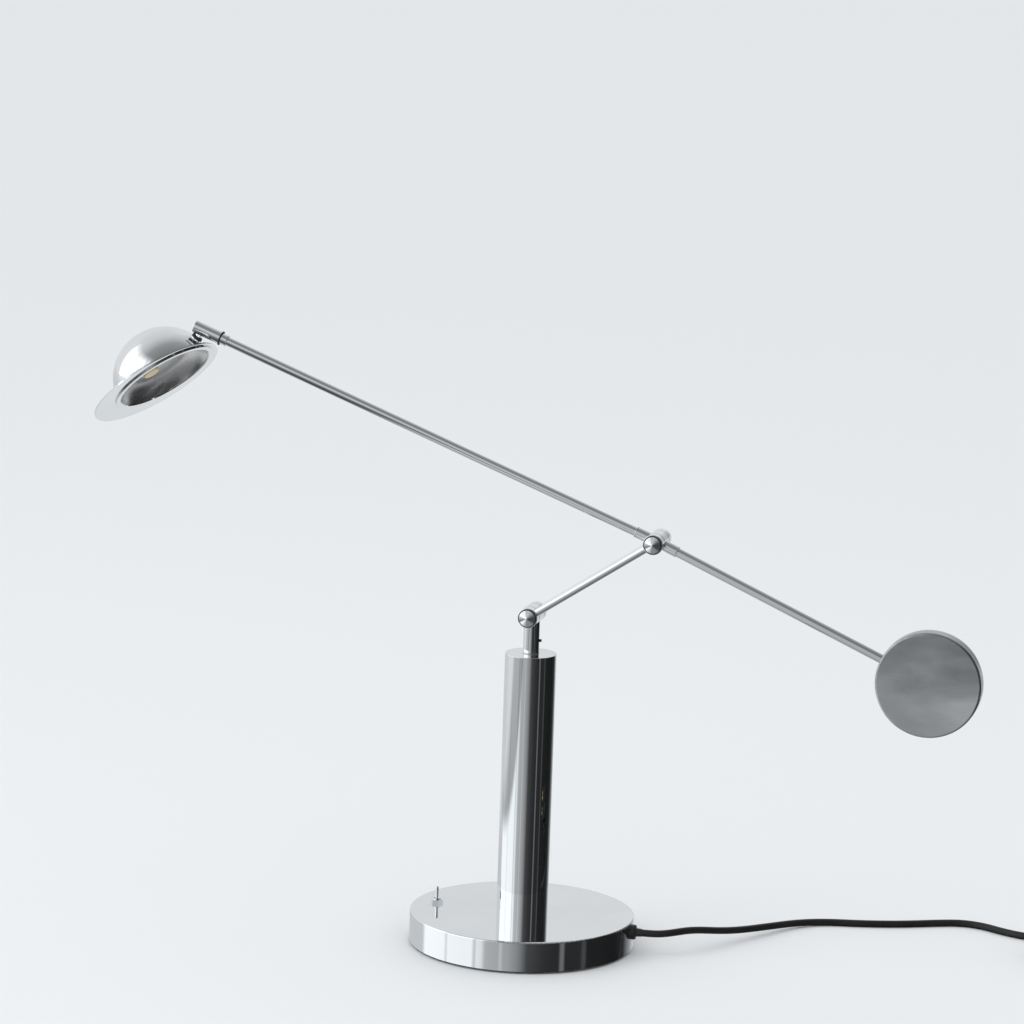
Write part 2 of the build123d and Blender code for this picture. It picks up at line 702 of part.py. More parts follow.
def counterweight():
    disc = rod(WEIGHT_RADIUS, WEIGHT_THICKNESS)
    disc = fillet(disc.edges().filter_by(GeomType.CIRCLE), WEIGHT_EDGE)
    disc = place(UPPER_PIVOT + REAR_DIRECTION * WEIGHT_DISTANCE, ACROSS, disc, -WEIGHT_THICKNESS / 2)
    socket = rod(ARM_RADIUS + FIT, WEIGHT_ROD_DEPTH + GAP + WEIGHT_RADIUS)
    disc -= on_rear_arm(socket, WEIGHT_DISTANCE - 2 * WEIGHT_RADIUS)
    return disc - grub_place(rod(GRUB_RADIUS + FIT, WEIGHT_THICKNESS), 0)


def counterweight_screw():
    start = ARM_RADIUS + FIT
    length = WEIGHT_THICKNESS / 2 - GRUB_INSET - start
    screw = rod(GRUB_RADIUS, length)
    screw -= lift(hexagon(GRUB_SOCKET_FLATS, GRUB_SOCKET_DEPTH), length - GRUB_SOCKET_DEPTH)
    return grub_place(screw, start)


# Head joint

def knuckle_ring():
    ring = rod(KNUCKLE_RING_RADIUS, KNUCKLE_RING) - rod(SPINDLE_RADIUS + FIT, KNUCKLE_RING)
    return on_front_arm(ring, ARM_END)


def roll_spindle():
    return on_front_arm(rod(SPINDLE_RADIUS, SPINDLE_REACH + SPINDLE_SEAT), KNUCKLE_START - SPINDLE_REACH)


def down_neck(shape, level):
    return place(NECK_POINT, NECK_DOWN, shape, level)


def knuckle():
    body = rod(KNUCKLE_RADIUS, KNUCKLE_LENGTH)
    body = fillet(body.edges().group_by(Axis.Z)[-1], KNUCKLE_EDGE)
    body -= rod(SPINDLE_RADIUS + FIT, SPINDLE_SEAT + FIT)
    bore = rod(NECK_PIN_RADIUS + FIT, NECK_PIN_DEPTH + 2 * KNUCKLE_RADIUS)
    return on_front_arm(body, KNUCKLE_START) - down_neck(bore, -NECK_PIN_DEPTH - FIT)


def neck_pin():
    return down_neck(rod(NECK_PIN_RADIUS, NECK_PIN_DEPTH + NECK_PIN_END), -NECK_PIN_DEPTH)


def neck_washer():
    washer = rod(NECK_WASHER_RADIUS, NECK_WASHER) - rod(NECK_PIN_RADIUS + FIT, NECK_WASHER)
    return down_neck(washer, NECK_WASHER_TOP)


def neck_seat():
    height = NECK_LENGTH + NECK_SEAT_RADIUS - NECK_SEAT_TOP
    seat = rod(NECK_SEAT_RADIUS, height) - rod(NECK_PIN_RADIUS + FIT, height)
    return down_neck(seat, NECK_SEAT_TOP) - Pos(DOME_CENTRE) * Sphere(DOME_RADIUS + FIT)


def neck_nut():
    nut = hexagon(NECK_NUT_FLATS, NECK_NUT_HEIGHT) - rod(NECK_PIN_RADIUS + FIT, NECK_NUT_HEIGHT)
    return down_neck(nut, NECK_NUT_TOP)


# Shade: local Z points to the apex, local X away from the arm

def in_shade(shape):
    return Plane(origin=SHADE_ORIGIN, x_dir=SHADE_OUT, z_dir=SHADE_APEX).location * shape


def dome(radius):
    return lift(Sphere(radius), -DOME_SINK) & rod(radius, radius)


def shade():
    brim = Pos(BRIM_OFFSET, 0, 0) * rod(BRIM_RADIUS, BRIM_THICKNESS)
    shell = in_shade(dome(DOME_RADIUS) + brim - dome(SHADE_BORE))
    return shell - down_neck(rod(NECK_PIN_RADIUS + FIT, NECK_PIN_END), 0)


def bezel_ring():
    ring = lift(rod(BEZEL_RADIUS, BEZEL_HEIGHT), -BEZEL_HEIGHT)
    ring = fillet(ring.edges().group_by(Axis.Z)[0], BEZEL_EDGE)
    ring -= lift(rod(BEZEL_BORE, BEZEL_HEIGHT), -BEZEL_HEIGHT)
    return in_shade(ring - lift(taper(BEZEL_BORE + BEZEL_FLARE, BEZEL_BORE, BEZEL_FLARE), -BEZEL_HEIGHT))


def at_light(shape):
    return in_shade(Pos(LED_OFFSET, 0, 0) * shape)


def pan(curve, depth):
    dish = rod(REFLECTOR_FLAT + curve, 2 * curve)
    dish = fillet(dish.edges().group_by(Axis.Z)[-1], curve)
    return lift(dish, depth - 2 * curve)


def reflector():
    bowl = pan(REFLECTOR_CURVE + REFLECTOR_WALL, BOARD_BOTTOM) & rod(SHADE_BORE - GAP, BOARD_BOTTOM)
    bowl -= pan(REFLECTOR_CURVE, REFLECTOR_DEPTH)
    return in_shade(bowl) - at_light(rod(REFLECTOR_HOLE, DOME_RADIUS))


def board_screw(room):
    screw = countersunk(BOARD_SCREW_RADIUS + room, BOARD_SCREW_HEAD + room, BOARD_SCREW_LENGTH + room)
    return Pos(BOARD_SCREW_CIRCLE, 0, BOARD_BOTTOM) * screw


def board_screw_set(room):
    return turned_copies(board_screw(room), BOARD_SCREW_COUNT, 0)


def board_screws():
    return at_light(group(board_screw_set(0)))


def led_board():
    return at_light(lift(rod(BOARD_RADIUS, BOARD_THICKNESS), BOARD_BOTTOM) - board_screw_set(FIT))


def led_emitter():
    chip = rod(LED_RADIUS, LED_HEIGHT)
    chip = fillet(chip.edges().group_by(Axis.Z)[0], LED_EDGE)
    return at_light(lift(chip, BOARD_BOTTOM - LED_HEIGHT))


def heat_sink():
    sink = lift(rod(SINK_RADIUS, SINK_PLATE), BOARD_TOP)
    step = 2 * SINK_RADIUS / SINK_FIN_COUNT
    fins = [Pos(0, step * (index - (SINK_FIN_COUNT - 1) / 2), BOARD_TOP + SINK_PLATE)
            * block(2 * SINK_RADIUS, SINK_FIN_THICKNESS, SINK_FIN_RISE) for index in range(SINK_FIN_COUNT)]
    sink += lift(rod(SINK_RADIUS, SINK_FIN_RISE), BOARD_TOP + SINK_PLATE) & (Part() + fins)
    boss_reach = LED_OFFSET + SINK_BOSS_RADIUS
    boss_top = math.sqrt(SHADE_BORE ** 2 - boss_reach ** 2) - DOME_SINK - FIT
    sink += lift(rod(SINK_BOSS_RADIUS, boss_top - BOARD_TOP), BOARD_TOP)
    return at_light(sink - board_screw_set(FIT))


# Mains lead

def corner_radii(points):
    radii = []
    for before, corner, after in zip(points, points[1:], points[2:]):
        arriving = corner - before
        leaving = after - corner
        half_turn = math.radians(arriving.get_angle(leaving) / 2)
        radii.append(ARC_SHARE * min(arriving.length, leaving.length) / math.tan(half_turn))
    return radii


def swept_tube(path, start, heading):
    return sweep(Plane(origin=start, z_dir=heading) * Circle(CORD_RADIUS), path=path)


def compare_volume(name, solid, path):
    share = solid.volume / (math.pi * CORD_RADIUS ** 2 * path.length)
    print(name, "length", round(path.length, 1), "volume share", round(share, 4))


def mains_cord():
    points = [GLAND_TIP, GLAND_TIP + Vector(CORD_EXIT_RUN, 0, 0)]
    points += [Vector(BASE_RADIUS + x, y, CORD_RADIUS + height) for x, y, height in CORD_ROUTE]
    points.append(COIL_ENTRY)
    radii = corner_radii(points)
    print("cord radii", [round(radius, 1) for radius in radii])
    path = FilletPolyline(*points, radius=radii)
    tube = swept_tube(path, points[0], points[1] - points[0])
    compare_volume("mains_cord", tube, path)
    return tube


def right_of(heading):
    return Vector(heading.Y, -heading.X, 0)


def climbing_turn(start, heading, radius, climb):
    end = start + right_of(heading) * (2 * radius) + UP * climb
    reach = math.sqrt(radius ** 2 + climb ** 2 / 4)
    first = start + heading * reach
    second = end + heading * reach
    middle = (first + second) / 2
    arcs = [TangentArc(start, middle, tangent=heading), TangentArc(middle, end, tangent=second - first)]
    return arcs, end


def falling_tail(start, heading, length, drop):
    end = start + heading * length - UP * drop
    reach = (length ** 2 + drop ** 2) / (4 * length)
    slope = (end - heading * reach) - (start + heading * reach)
    middle = (start + end) / 2
    arcs = [TangentArc(start, middle, tangent=heading), TangentArc(middle, end, tangent=slope)]
    return arcs, end


def coil_edges():
    edges = [Line(COIL_ENTRY, COIL_TOP)]
    point = COIL_TOP
    heading = COIL_HEADING
    inward = [COIL_RADIUS - index * COIL_PITCH / 2 for index in range(COIL_TURNS_IN)]
    outward = [COIL_INNER + (index + 1) * COIL_PITCH / 2 for index in range(COIL_TURNS_OUT)]
    for radius in inward:
        end = point + right_of(heading) * (2 * radius)
        edges.append(TangentArc(point, end, tangent=heading))
        point = end
        heading = -heading
    arcs, point = climbing_turn(point, heading, COIL_INNER, COIL_PITCH)
    edges += arcs
    heading = -heading
    for radius in outward:
        end = point + right_of(heading) * (2 * radius)
        edges.append(TangentArc(point, end, tangent=heading))
        point = end
        heading = -heading
    last_radius = COIL_INNER + (COIL_TURNS_OUT + 1) * COIL_PITCH / 2
    end = point + (heading + right_of(heading)) * last_radius
    edges.append(TangentArc(point, end, tangent=heading))
    heading = right_of(heading)
    drop = COIL_LEVEL + COIL_PITCH - PLUG_THICKNESS / 2
    point = end + heading * COIL_RUN
    edges.append(Line(end, point))
    arcs, point = falling_tail(point, heading, COIL_TAIL, drop)
    edges += arcs
    plug_entry = point + heading * CORD_DIAMETER
    edges.append(Line(point, plug_entry))
    return edges, plug_entry, heading


def least_gap(path):
    count = round(path.length / (CORD_DIAMETER / 2))
    samples = [path.position_at(index / count) for index in range(count + 1)]
    apart = round(math.pi * COIL_INNER / (path.length / count))
    gaps = [(samples[first] - samples[second]).length
            for first in range(count + 1) for second in range(first + apart, count + 1)]
    return min(gaps) - CORD_DIAMETER


def cord_coil():
    edges, _, _ = coil_edges()
    path = Wire(edges)
    print("cord_coil least gap", round(least_gap(path), 3))
    tube = swept_tube(path, COIL_ENTRY, COIL_HEADING)
    compare_volume("cord_coil", tube, path)
    return tube


def cord_tie(angle, inner, outer):
    width = outer - inner + 2 * (CORD_RADIUS + TIE_ROOM + TIE_THICKNESS)
    height = COIL_PITCH + CORD_DIAMETER + 2 * (GAP + TIE_THICKNESS)
    band = RectangleRounded(width, height, TIE_CORNER + TIE_THICKNESS)
    band -= RectangleRounded(width - 2 * TIE_THICKNESS, height - 2 * TIE_THICKNESS, TIE_CORNER)
    radial = Vector(math.cos(math.radians(angle)), math.sin(math.radians(angle)), 0)
    middle = Vector(COIL_CENTRE.X, COIL_CENTRE.Y, height / 2) + radial * ((inner + outer) / 2)
    across = Vector(-radial.Y, radial.X, 0)
    plane = Plane(origin=middle - across * (TIE_WIDTH / 2), x_dir=radial, z_dir=across)
    return extrude(plane * band, amount=TIE_WIDTH)


def cord_ties():
    half = COIL_PITCH / 2
    left = cord_tie(180, COIL_INNER + half, COIL_RADIUS - half)
    right = cord_tie(-70, COIL_INNER, COIL_RADIUS)
    return group([left, right])


def at_plug(shape, level):
    _, entry, heading = coil_edges()
    return Plane(origin=entry + heading * level, x_dir=right_of(heading), z_dir=heading).location * shape


def plug_body():
    body = extrude(RectangleRounded(PLUG_WIDTH, PLUG_THICKNESS, PLUG_CORNER), amount=PLUG_LENGTH)
    body = chamfer(body.faces().sort_by(Axis.Z)[0].edges(), PLUG_SHOULDER)
    sleeve = taper(PLUG_SLEEVE_TIP, PLUG_SLEEVE_RADIUS, PLUG_SLEEVE + PLUG_SHOULDER)
    return at_plug(sleeve + lift(body, PLUG_SLEEVE), 0)


def plug_pins():
    pin = rod(PIN_RADIUS, PIN_LENGTH)
    return group([at_plug(Pos(side * PIN_SPACING / 2, 0, 0) * pin, PLUG_SLEEVE + PLUG_LENGTH)
                  for side in (-1, 1)])


PARTS = {
    "base_pad": base_pad(),
    "bottom_plate": bottom_plate(),
    "plate_screws": group(plate_screw_set(0)),
    "base_ballast": base_ballast(),
    "base_cover": base_cover(),
    "led_driver": led_driver(),
    "supply_lead": supply_lead(),
    "cord_gland": cord_gland(),
    "gland_nut": gland_nut(),
    "switch_body": switch_body(),
    "switch_terminals": switch_terminals(),
    "toggle_bush": toggle_bush(),
    "toggle_nut": toggle_nut(),
    "toggle_lever": toggle_lever(),
    "toggle_pin": toggle_pin(),
    "column_tube": column_tube(),
    "column_foot": column_foot(),
    "column_cap": column_cap(),
    "tie_rod": tie_rod(),
    "tie_nut": tie_nut(),
    "tie_washer": tie_washer(),
    "stem_washer": stem_washer(),
    "stem": stem(),
    "stem_set_screw": stem_set_screw(),
    "lower_friction_washers": friction_washers(LOWER_PIVOT),
    "lower_link_eyes": link_eyes(LOWER_PIVOT, LINK_DIRECTION),
    "lower_pivot_bolt": pivot_bolt(LOWER_PIVOT),
    "lower_pivot_nut": pivot_nut(LOWER_PIVOT),
    "link_rods": link_rods(),
    "upper_friction_washers": friction_washers(UPPER_PIVOT),
    "upper_link_eyes": link_eyes(UPPER_PIVOT, -LINK_DIRECTION),
    "upper_pivot_bolt": pivot_bolt(UPPER_PIVOT),
    "upper_pivot_nut": pivot_nut(UPPER_PIVOT),
    "arm_hub": arm_hub(),
    "sleeve_rings": sleeve_rings(),
    "front_arm": front_arm(),
    "arm_collar": arm_collar(),
    "rear_arm": rear_arm(),
    "counterweight": counterweight(),
    "counterweight_screw": counterweight_screw(),
    "knuckle_ring": knuckle_ring(),
    "roll_spindle": roll_spindle(),
    "knuckle": knuckle(),
    "neck_pin": neck_pin(),
    "neck_washer": neck_washer(),
    "neck_seat": neck_seat(),
    "neck_nut": neck_nut(),
    "shade": shade(),
    "bezel_ring": bezel_ring(),
    "reflector": reflector(),
    "led_board": led_board(),
    "board_screws": board_screws(),
    "led_emitter": led_emitter(),
    "heat_sink": heat_sink(),
    "mains_cord": mains_cord(),
    "cord_coil": cord_coil(),
    "cord_ties": cord_ties(),
    "plug_body": plug_body(),
    "plug_pins": plug_pins(),
}

os.makedirs("parts", exist_ok=True)
for name, shape in PARTS.items():
    export_step(shape, f"parts/{name}.step")
print("upper pivot", UPPER_PIVOT)
print("front direction", FRONT_DIRECTION)
print("neck point", NECK_POINT, "neck direction", NECK_DOWN)
print("shade origin", SHADE_ORIGIN, "shade apex", SHADE_APEX)
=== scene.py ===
import math

import bpy
from mathutils import Matrix, Vector


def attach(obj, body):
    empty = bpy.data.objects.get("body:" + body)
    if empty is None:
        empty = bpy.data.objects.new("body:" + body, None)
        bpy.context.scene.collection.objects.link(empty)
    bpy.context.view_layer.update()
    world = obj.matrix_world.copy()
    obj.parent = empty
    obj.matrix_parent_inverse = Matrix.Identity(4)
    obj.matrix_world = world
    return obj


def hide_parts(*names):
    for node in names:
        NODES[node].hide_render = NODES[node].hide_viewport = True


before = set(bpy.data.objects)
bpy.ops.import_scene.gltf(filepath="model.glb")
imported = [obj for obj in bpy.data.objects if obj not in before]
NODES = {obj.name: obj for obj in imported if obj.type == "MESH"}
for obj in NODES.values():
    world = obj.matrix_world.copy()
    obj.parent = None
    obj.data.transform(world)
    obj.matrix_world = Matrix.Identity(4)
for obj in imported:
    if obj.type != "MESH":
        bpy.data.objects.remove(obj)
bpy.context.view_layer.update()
MM = 0.001
UP = (0.0, 0.0, 1.0)

# Camera: place in metres, turn in degrees, lens and sensor in millimetres
CAMERA_PLACE = (0.73106, -3.01956, 0.9047)
CAMERA_YAW = -13.9576
CAMERA_PITCH = 10.105
CAMERA_ROLL = 1.935
CAMERA_LENS = 140.625
SENSOR = 36.0

# Studio: a pale floor, a soft key light and a room for the chrome to mirror
FLOOR_SIZE = 60.0
FLOOR_COLOUR = (0.835, 0.86, 0.88)
FLOOR_ROUGHNESS = 0.7
FLOOR_SPECULAR = 0.1
FLOOR_MIRROR_ROUGHNESS = 0.04
FLOOR_MIRROR_COLOUR = (0.775, 0.785, 0.795, 1.0)
FLOOR_PALE_SIDE = (-0.7, 0.7, 0.0)
FLOOR_PALE_FROM = 0.55
FLOOR_MIRROR_TO = 0.25
FLOOR_PALE_GLOSS = 0.35
FLOOR_EDGE_SIDE = (1.0, 0.0, 0.0)
FLOOR_EDGE = -0.46
FLOOR_EDGE_END = -0.34
FLOOR_BEYOND_IOR = 1.8
BACKGROUND = (0.82, 0.84, 0.86, 1.0)
SOFT_LIGHT = 1.18
KEY_PLACE = (-1.6, -1.2, 2.2)
KEY_TARGET = (0.0, 0.0, 0.25)
KEY_SIZE = 1.6
KEY_POWER = 11.0

# Room: brightness round it, from behind through the left, the front and the right to behind again
ROOM_TURN = 72.0
ROOM = [
    (0.00, 0.74),
    (0.15, 0.80),
    (0.165, 1.40),
    (0.250, 1.37),
    (0.257, 0.95),
    (0.264, 1.36),
    (0.345, 1.32),
    (0.351, 0.85),
    (0.356, 0.85),
    (0.360, 1.15),
    (0.374, 1.05),
    (0.386, 0.60),
    (0.424, 0.53),
    (0.431, 0.74),
    (0.438, 0.50),
    (0.45, 0.48),
    (0.48, 0.32),
    (0.505, 0.08),
    (0.555, 0.04),
    (0.597, 0.03),
    (0.603, 0.20),
    (0.610, 0.20),
    (0.617, 0.03),
    (0.665, 0.03),
    (0.672, 0.08),
    (0.680, 0.08),
    (0.687, 0.02),
    (0.80, 0.015),
    (0.85, 0.04),
    (0.90, 0.40),
    (0.95, 0.78),
    (1.00, 0.74),
]
ROOM_TINT = (0.985, 1.0, 1.01)

# Ceiling of the room: brightness from the front right to the back left
CEILING_START = 0.55
CEILING_FULL = 0.80
CEILING_SIDE = (-0.7, 0.7, 0.0)
CEILING_REACH = 0.6
CEILING = [
    (0.0, 0.20),
    (0.5, 0.33),
    (1.0, 0.70),
]

# Mains lead: its route from the gland to the coil, in millimetres
CORD_DIAMETER = 5.7
GLAND_TIP = (99.0, 0.0, 18.0)
CORD_ROUTE = [
    (109.0, 0.0, 18.0),
    (118.5, 3.1, 18.6),
    (126.7, 9.0, 19.3),
    (133.8, 17.4, 19.0),
    (141.2, 28.6, 17.0),
    (149.6, 41.2, 14.0),
    (158.6, 54.8, 11.2),
    (168.2, 69.8, 9.0),
    (178.4, 86.4, 7.2),
    (189.2, 103.4, 5.6),
    (200.4, 119.2, 4.3),
    (213.0, 131.6, 3.2),
    (229.0, 139.0, 2.85),
    (248.0, 142.6, 2.85),
    (268.0, 148.2, 2.85),
    (289.5, 156.4, 2.85),
    (310.5, 167.4, 2.85),
    (331.0, 176.0, 2.85),
    (349.5, 172.9, 2.85),
    (366.0, 162.6, 2.85),
    (384.0, 155.2, 2.85),
    (404.0, 151.2, 3.2),
    (422.0, 150.0, 4.15),
]
COIL_CENTRE = (446.0, 107.4)
COIL_RADIUS = 42.6
COIL_PITCH = 6.2
COIL_LEVEL = 4.15
COIL_TURNS_IN = 6
COIL_TURNS_OUT = 5
COIL_RUN = 14.0
COIL_TAIL = 22.0
PLUG_LEVEL = 7.0
POINTS_PER_HALF_TURN = 8
CORD_SIDE_STEPS = 6
CORD_LENGTH_STEPS = 6
CORD_CURVE_ORDER = 3

# Directions of the polished tubes, in degrees from level
FRONT_ARM_ANGLE = 20.74
REAR_ARM_ANGLE = 23.4
LINK_ANGLE = 34.03

# Part of a noise's range that roughness and colour follow
ROUGHNESS_FROM = 0.3
ROUGHNESS_TO = 0.7
COLOUR_FROM = 0.35
COLOUR_TO = 0.65

# Chrome: faint smears, drawn out along the tubes
CHROME_COLOUR = (0.84, 0.86, 0.875)
CHROME_DULL = (0.82, 0.84, 0.855)
CHROME_BRIGHT = (0.86, 0.88, 0.895)
CHROME_ROUGHNESS = 0.03
CHROME_SMOOTHEST = 0.015
CHROME_ROUGHEST = 0.05
SMEAR_SCALE = 22.0
SMEAR_DETAIL = 4.0
SMEAR_STRETCH = 6.0

# Satin steel: soft clouds and a fine grain
SATIN_CLOUD_SCALE = 40.0
SATIN_CLOUD_DETAIL = 5.0
SATIN_DARKEST = 0.88
SATIN_SMOOTHEST = 0.75
SATIN_ROUGHEST = 1.3
SATIN_GRAIN_SCALE = 900.0
SATIN_GRAIN_DETAIL = 2.0
SATIN_GRAIN = 0.05
STEEL_GRAIN_DEPTH = 0.0002

# Ground steel: long clouds of painted reflection, darker and lighter in colour and rougher where darker, and
# grinding marks along one direction
WEIGHT_REFLECTION_CLOUD_SCALE = 20.0
WEIGHT_REFLECTION_CLOUD_DETAIL = 5.0
WEIGHT_REFLECTION_CLOUD_STRETCH = 2.5
GROUND_SMOOTHEST = 0.8
GROUND_ROUGHEST = 1.25
GRINDING_SCALE = 700.0
GRINDING_DETAIL = 2.0
GRINDING_STRETCH = 12.0
GRINDING = 0.06

# Mouldings: plastic, rubber and fibre with a fine grain
MOULDING_CLOUD_SCALE = 60.0
MOULDING_CLOUD_DETAIL = 4.0
MOULDING_LIGHTEST = 1.35
MOULDING_SMOOTHEST = 0.85
MOULDING_ROUGHEST = 1.1
MOULDING_GRAIN_SCALE = 1400.0
MOULDING_GRAIN_DETAIL = 3.0
MOULDING_GRAIN_DEPTH = 0.0003

# Colours of the metals
# Counterweight: painted reflection, its dark and light colours mixed in long sideways clouds
WEIGHT_PAINTED_DARK = (0.30, 0.315, 0.325)
WEIGHT_PAINTED_LIGHT = (0.70, 0.72, 0.735)
WEIGHT_GRINDING_AND_REFLECTION = (1.0, 0.0, 0.0)
ZINC = (0.60, 0.60, 0.58)
OXIDE_BLACK = (0.03, 0.03, 0.032)
CAST_IRON = (0.10, 0.10, 0.105)
REFLECTOR_SILVER = (0.82, 0.82, 0.82)
ALUMINIUM = (0.50, 0.51, 0.52)
BRASS = (0.72, 0.55, 0.27)

# Colours of the mouldings
RUBBER_BLACK = (0.012, 0.012, 0.012)
PLASTIC_BLACK = (0.014, 0.014, 0.015)
FIBRE_BLACK = (0.014, 0.013, 0.012)
SHEATH_BLACK = (0.008, 0.008, 0.009)
SWITCH_RED = (0.22, 0.03, 0.025)
DRIVER_GREY = (0.62, 0.62, 0.60)
BOARD_WHITE = (0.72, 0.72, 0.69)
PHOSPHOR_YELLOW = (0.50, 0.41, 0.25)


# Camera

def make_camera():
    yaw = math.radians(CAMERA_YAW)
    pitch = math.radians(CAMERA_PITCH)
    roll = math.radians(CAMERA_ROLL)
    forward = Vector((math.sin(yaw) * math.cos(pitch), math.cos(yaw) * math.cos(pitch), -math.sin(pitch)))
    level = Vector((math.cos(yaw), -math.sin(yaw), 0.0))
    raised = level.cross(forward)
    right = level * math.cos(roll) + raised * math.sin(roll)
    up = raised * math.cos(roll) - level * math.sin(roll)
    data = bpy.data.cameras.new("camera")
    data.lens = CAMERA_LENS
    data.sensor_width = SENSOR
    camera = bpy.data.objects.new("camera", data)
    turn = Matrix((right, up, -forward)).transposed().to_4x4()
    camera.matrix_world = Matrix.Translation(CAMERA_PLACE) @ turn
    bpy.context.scene.collection.objects.link(camera)
    bpy.context.scene.camera = camera


# Mains lead

def half_turn(start, heading, radius, climb):
    right = Vector((heading.y, -heading.x, 0.0))
    centre = start + right * radius
    step = math.pi / POINTS_PER_HALF_TURN
    reach = radius / math.cos(step / 2)
    points = []
    for index in range(POINTS_PER_HALF_TURN):
        angle = (index + 0.5) * step
        lift = Vector((0.0, 0.0, climb * (index + 0.5) / POINTS_PER_HALF_TURN))
        spoke = heading * (reach * math.sin(angle)) - right * (reach * math.cos(angle))
        points.append(centre + spoke + lift)
    end = start + right * (2 * radius) + Vector((0.0, 0.0, climb))
    return points, end


def coil_turns(inner):
    turns = [(COIL_RADIUS - index * COIL_PITCH / 2, 0.0) for index in range(COIL_TURNS_IN)]
    turns.append((inner, COIL_PITCH))
    turns += [(inner + (index + 1) * COIL_PITCH / 2, 0.0) for index in range(COIL_TURNS_OUT)]
    return turns


def plug_run(end, right):
    drop = Vector((0.0, 0.0, COIL_LEVEL + COIL_PITCH - PLUG_LEVEL))
    return [
        end + right * COIL_RUN,
        end + right * (COIL_RUN + COIL_TAIL / 4),
        end + right * (COIL_RUN + COIL_TAIL * 3 / 4) - drop,
        end + right * (COIL_RUN + COIL_TAIL + CORD_DIAMETER) - drop,
    ]


def coil_points():
    point = Vector((COIL_CENTRE[0], COIL_CENTRE[1] + COIL_RADIUS, COIL_LEVEL))
    heading = Vector((1.0, 0.0, 0.0))
    inner = COIL_RADIUS - COIL_TURNS_IN * COIL_PITCH / 2
    points = [point - heading * CORD_DIAMETER]
    for radius, climb in coil_turns(inner):
        more, point = half_turn(point, heading, radius, climb)
        points += more
        heading = -heading
    last_radius = inner + (COIL_TURNS_OUT + 1) * COIL_PITCH / 2
    more, _ = half_turn(point, heading, last_radius, 0.0)
    points += more[:POINTS_PER_HALF_TURN // 2]
    right = Vector((heading.y, -heading.x, 0.0))
    return points + plug_run(point + (heading + right) * last_radius, right)


def make_lead():
    points = [Vector(GLAND_TIP)] + [Vector(point) for point in CORD_ROUTE] + coil_points()
    data = bpy.data.curves.new("mains_lead", "CURVE")
    data.dimensions = "3D"
    data.bevel_depth = 1.0
    data.bevel_resolution = CORD_SIDE_STEPS
    data.resolution_u = CORD_LENGTH_STEPS
    data.use_fill_caps = True
    spline = data.splines.new("NURBS")
    spline.points.add(len(points) - 1)
    for target, point in zip(spline.points, points):
        target.co = (*(point * MM), 1.0)
        target.radius = CORD_DIAMETER / 2 * MM
    spline.order_u = CORD_CURVE_ORDER
    spline.use_endpoint_u = True
    lead = bpy.data.objects.new("mains_lead", data)
    bpy.context.scene.collection.objects.link(lead)
    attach(lead, "base")
    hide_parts("mains_cord", "cord_coil")
    return lead


# Shared material pieces

def start_material(name, colour, metallic, roughness):
    made = bpy.data.materials.new(name)
    made.use_nodes = True
    shader = made.node_tree.nodes["Principled BSDF"]
    shader.inputs["Base Color"].default_value = (*colour, 1.0)
    shader.inputs["Metallic"].default_value = metallic
    shader.inputs["Roughness"].default_value = roughness
    return made, made.node_tree, shader


def noise(tree, scale, detail, direction=None, stretch=1.0):
    place = tree.nodes.new("ShaderNodeTexCoord").outputs["Object"]
    if direction is not None:
        turn = tree.nodes.new("ShaderNodeMapping")
        turn.vector_type = "TEXTURE"
        turn.inputs["Rotation"].default_value = Vector(direction).to_track_quat("Z", "Y").to_euler()
        turn.inputs["Scale"].default_value = (1.0, 1.0, stretch)
        tree.links.new(place, turn.inputs["Vector"])
        place = turn.outputs["Vector"]
    texture = tree.nodes.new("ShaderNodeTexNoise")
    texture.inputs["Scale"].default_value = scale
    texture.inputs["Detail"].default_value = detail
    tree.links.new(place, texture.inputs["Vector"])
    return texture.outputs["Fac"]


def vary_roughness(tree, shader, factor, first, second):
    ranged = tree.nodes.new("ShaderNodeMapRange")
    ranged.inputs["From Min"].default_value = ROUGHNESS_FROM
    ranged.inputs["From Max"].default_value = ROUGHNESS_TO
    ranged.inputs["To Min"].default_value = first
    ranged.inputs["To Max"].default_value = second
    tree.links.new(factor, ranged.inputs["Value"])
    tree.links.new(ranged.outputs["Result"], shader.inputs["Roughness"])


def vary_colour(tree, shader, factor, first, second):
    ramp = tree.nodes.new("ShaderNodeValToRGB")
    ramp.color_ramp.elements[0].position = COLOUR_FROM
    ramp.color_ramp.elements[0].color = (*first, 1.0)
    ramp.color_ramp.elements[1].position = COLOUR_TO
    ramp.color_ramp.elements[1].color = (*second, 1.0)
    tree.links.new(factor, ramp.inputs["Fac"])
    tree.links.new(ramp.outputs["Color"], shader.inputs["Base Color"])


def raise_bumps(tree, shader, height, strength, distance):
    bump = tree.nodes.new("ShaderNodeBump")
    bump.inputs["Strength"].default_value = strength
    bump.inputs["Distance"].default_value = distance
    tree.links.new(height, bump.inputs["Height"])
    tree.links.new(bump.outputs["Normal"], shader.inputs["Normal"])


# Materials

def chrome(name, direction=None):
    made, tree, shader = start_material(name, CHROME_COLOUR, 1.0, CHROME_ROUGHNESS)
    smears = noise(tree, SMEAR_SCALE, SMEAR_DETAIL, direction, SMEAR_STRETCH)
    vary_roughness(tree, shader, smears, CHROME_SMOOTHEST, CHROME_ROUGHEST)
    vary_colour(tree, shader, smears, CHROME_DULL, CHROME_BRIGHT)
    return made


